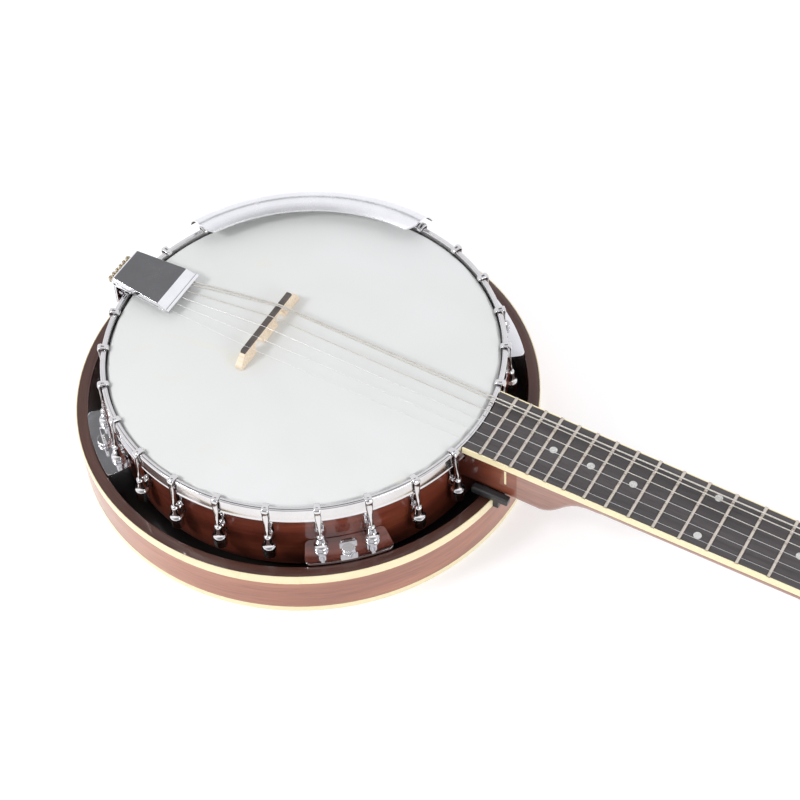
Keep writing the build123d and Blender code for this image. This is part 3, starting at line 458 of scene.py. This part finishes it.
def joined(shapes):
    """Several (points, faces) shapes as one."""
    all_points, all_faces = [], []
    for points, faces in shapes:
        first = len(all_points)
        all_points += [Vector(p) for p in points]
        all_faces += [tuple(first + i for i in face) for face in faces]
    return all_points, all_faces


def round_the_pot(shape, angles):
    """Copies of one shape turned to each angle, as one mesh."""
    turned = []
    for angle in angles:
        turn = Matrix.Rotation(angle, 3, "Z")
        turned.append(([turn @ Vector(p) for p in shape[0]], shape[1]))
    return joined(turned)


def make_hooks():
    """Forged hooks: claw over the hoop, flat blade tapering to a rod, round threaded end."""
    top = HOOP_TOP
    stations = [
        (HOOK_R - 7.1, top - 1.3, 2.6, 0.6, 2.4), (HOOK_R - 7.1, top - 0.5, 3.8, 1.0, 2.6),
        (HOOK_R - 6.6, top + 0.6, 4.3, 1.2, 2.8), (HOOK_R - 5.6, top + 1.1, 4.4, 1.3, 2.8),
        (HOOK_R - 4.0, top + 1.2, 4.4, 1.4, 2.8), (HOOK_R - 2.6, top + 1.3, 4.6, 1.6, 2.8),
        (HOOK_R - 1.2, top + 1.3, 5.0, 2.0, 2.8), (HOOK_R - 0.2, top + 0.8, 5.1, 2.2, 2.8),
        (HOOK_R + 0.1, top - 0.4, 5.0, 2.0, 2.8), (HOOK_R + 0.1, top - 1.6, 4.5, 1.6, 2.8),
        (HOOK_R, top - 3.2, 4.4, 1.3, 3.2), (HOOK_R, top - 6.0, 4.4, 1.2, 3.2),
        (HOOK_R, top - 10.0, 4.1, 1.2, 3.2), (HOOK_R, top - 14.0, 3.6, 1.3, 3.0),
        (HOOK_R, top - 17.5, 3.0, 1.5, 2.6), (HOOK_R, top - 20.5, 2.7, 2.2, 2.2),
        (HOOK_R, top - 22.0, 2.8, 2.8, 2.0), (HOOK_R, ROD_LOW + 9.0, 2.8, 2.8, 2.0),
    ]
    pitch, turns = 0.8, 10
    for turn in range(turns):
        z = ROD_LOW + 8.5 - turn * pitch
        stations.append((HOOK_R, z, 3.3, 3.3, 2.0))
        stations.append((HOOK_R, z - pitch / 2, 2.8, 2.8, 2.0))
    stations.append((HOOK_R, ROD_LOW + 0.1, 2.2, 2.2, 2.0))
    points, faces = round_the_pot(swept_bar(stations), HOOK_ANGLES)
    make_piece("hooks_forged", points, faces, "chrome", "banjo", "bracket_hooks")


def make_shoes():
    """Cast shoes: a bell with a straight skirt round the hook, a web and a tall foot."""
    low = SHOE_LOW
    bell = [(0.9, low + 0.1), (4.6, low + 0.1), (5.1, low + 0.4), (5.25, low + 1.2),
            (5.2, low + 2.6), (4.95, low + 3.5), (4.4, low + 4.3), (3.8, low + 5.4),
            (3.35, low + 7.0), (3.05, low + 9.5), (2.9, low + 12.2), (2.7, low + 13.3),
            (2.2, low + 13.9), (0.9, low + 14.0)]
    points, faces = turned_ring(curve_through(bell, 2), 28)
    bells = [Vector((x + HOOK_R, y, z)) for x, y, z in points]
    foot = swept_bar([(FOOT_R, low + 2.0, 4.6, 1.2, 3.2), (FOOT_R, low + 2.5, 6.2, 2.0, 3.6),
                      (FOOT_R, low + 12.0, 6.2, 2.2, 3.6), (FOOT_R, low + 20.0, 6.0, 2.0, 3.6),
                      (FOOT_R, low + 22.6, 4.8, 1.8, 3.2), (FOOT_R, low + 23.2, 2.6, 1.0, 2.6)])
    web = swept_bar([(FOOT_R + 0.2, low + 7.6, 6.4, 9.6, 3.2),
                     (FOOT_R + 2.2, low + 7.4, 5.0, 8.6, 3.0),
                     (FOOT_R + 5.2, low + 7.4, 4.6, 8.4, 3.0)])
    points, faces = round_the_pot(joined([(bells, faces), foot, web]), HOOK_ANGLES)
    make_piece("shoes_cast", points, faces, "chrome", "banjo", "bracket_shoes")


make_hoop()
make_hooks()
make_shoes()


# ------------------------------------------------------------------ stage, light, camera
def make_stage():
    """Pale floor that glows a little, so that it stays near white in the banjo's shadow."""
    bpy.ops.mesh.primitive_plane_add(size=14.0, location=(0.2, 0, 0))
    floor = bpy.context.object
    floor.name = "studio_floor"
    look = Look("floor_look")
    cloud = look.noise(look.coords, 2.0, 2, 0.5)
    tone = look.ramp(cloud, [(0.3, (0.59, 0.59, 0.59)), (0.7, (0.62, 0.62, 0.62))])
    look.set("Base Color", tone)
    look.bsdf.inputs["Roughness"].default_value = 0.7
    look.bsdf.inputs["Emission Color"].default_value = (1, 1, 1, 1)
    look.bsdf.inputs["Emission Strength"].default_value = 0.5
    floor.data.materials.append(look.material)


def make_world():
    """White tent with one darker opening up behind the banjo and a dim patch by the camera."""
    world = bpy.data.worlds.new("studio")
    SCENE.world = world
    world.use_nodes = True
    tree = world.node_tree
    coords = tree.nodes.new("ShaderNodeTexCoord").outputs["Generated"]

    def math(operation, a, b):
        made = tree.nodes.new("ShaderNodeMath")
        made.operation = operation
        for index, value in ((0, a), (1, b)):
            if hasattr(value, "is_output"):
                tree.links.new(value, made.inputs[index])
            else:
                made.inputs[index].default_value = value
        return made.outputs[0]

    def patch(way, inner, outer, low):
        """1 away from the direction, low within inner degrees of it."""
        dot = tree.nodes.new("ShaderNodeVectorMath")
        dot.operation = "DOT_PRODUCT"
        tree.links.new(coords, dot.inputs[0])
        dot.inputs[1].default_value = Vector(way).normalized()
        span = tree.nodes.new("ShaderNodeMapRange")
        span.interpolation_type = "SMOOTHSTEP"
        tree.links.new(dot.outputs["Value"], span.inputs["Value"])
        for key, value in (("From Min", cos(radians(inner))), ("From Max", cos(radians(outer))),
                           ("To Min", low), ("To Max", 1.0)):
            span.inputs[key].default_value = value
        return span.outputs[0]

    opening = patch((-0.3664, 0.4775, 0.7986), 6.5, 8.5, 0.18)
    camera_side = patch((0.39, -0.54, 0.45), 15, 68, 0.35)
    level = math("MULTIPLY", math("MULTIPLY", opening, camera_side), 0.98)
    background = tree.nodes["Background"]
    tree.links.new(level, background.inputs["Strength"])
    background.inputs["Color"].default_value = (0.985, 0.99, 1.02, 1)


LIT_POINT = (0.02, 0, 0.06)


def area_light(name, direction, distance, size, watts):
    """Round soft light that faces the pot from the direction given."""
    data = bpy.data.lights.new(name, "AREA")
    data.shape = "DISK"
    data.size = size
    data.energy = watts
    lamp = bpy.data.objects.new(name, data)
    SCENE.collection.objects.link(lamp)
    way = Vector(direction).normalized()
    lamp.location = Vector(LIT_POINT) + way * distance
    lamp.rotation_euler = way.to_track_quat("Z", "Y").to_euler()


HEAD_HEIGHT = 0.0814


def make_camera():
    """Viewing direction, distance and lens that give the pictured perspective."""
    azimuth, elevation = radians(35.903), radians(48.557)
    roll, distance = radians(6.462), 1.453309
    pan, tilt = radians(2.523), radians(1.726)
    back = Vector((sin(azimuth) * cos(elevation), -cos(azimuth) * cos(elevation), sin(elevation)))
    right = Vector((cos(azimuth), sin(azimuth), 0))
    up = back.cross(right)
    rows = Matrix((right, up, back))
    turn = Matrix.Rotation(roll, 3, "Z") @ Matrix.Rotation(pan, 3, "Y")
    turn = turn @ Matrix.Rotation(tilt, 3, "X")
    world = (turn @ rows).transposed().to_4x4()
    world.translation = back * distance + Vector((0, 0, HEAD_HEIGHT))
    data = bpy.data.cameras.new("camera")
    data.sensor_width = 36.0
    data.lens = 91.754
    camera = bpy.data.objects.new("camera", data)
    SCENE.collection.objects.link(camera)
    camera.matrix_world = world
    SCENE.camera = camera


make_stage()
make_world()
area_light("key_box", (-0.47, -0.57, 0.67), 1.7, 0.4, 10.0)
area_light("right_box", (0.80, -0.30, 0.40), 1.8, 0.8, 7.5)
area_light("front_box", (0.25, -0.60, 0.78), 1.8, 1.2, 1.5)
make_camera()
SCENE.view_settings.view_transform = "Standard"
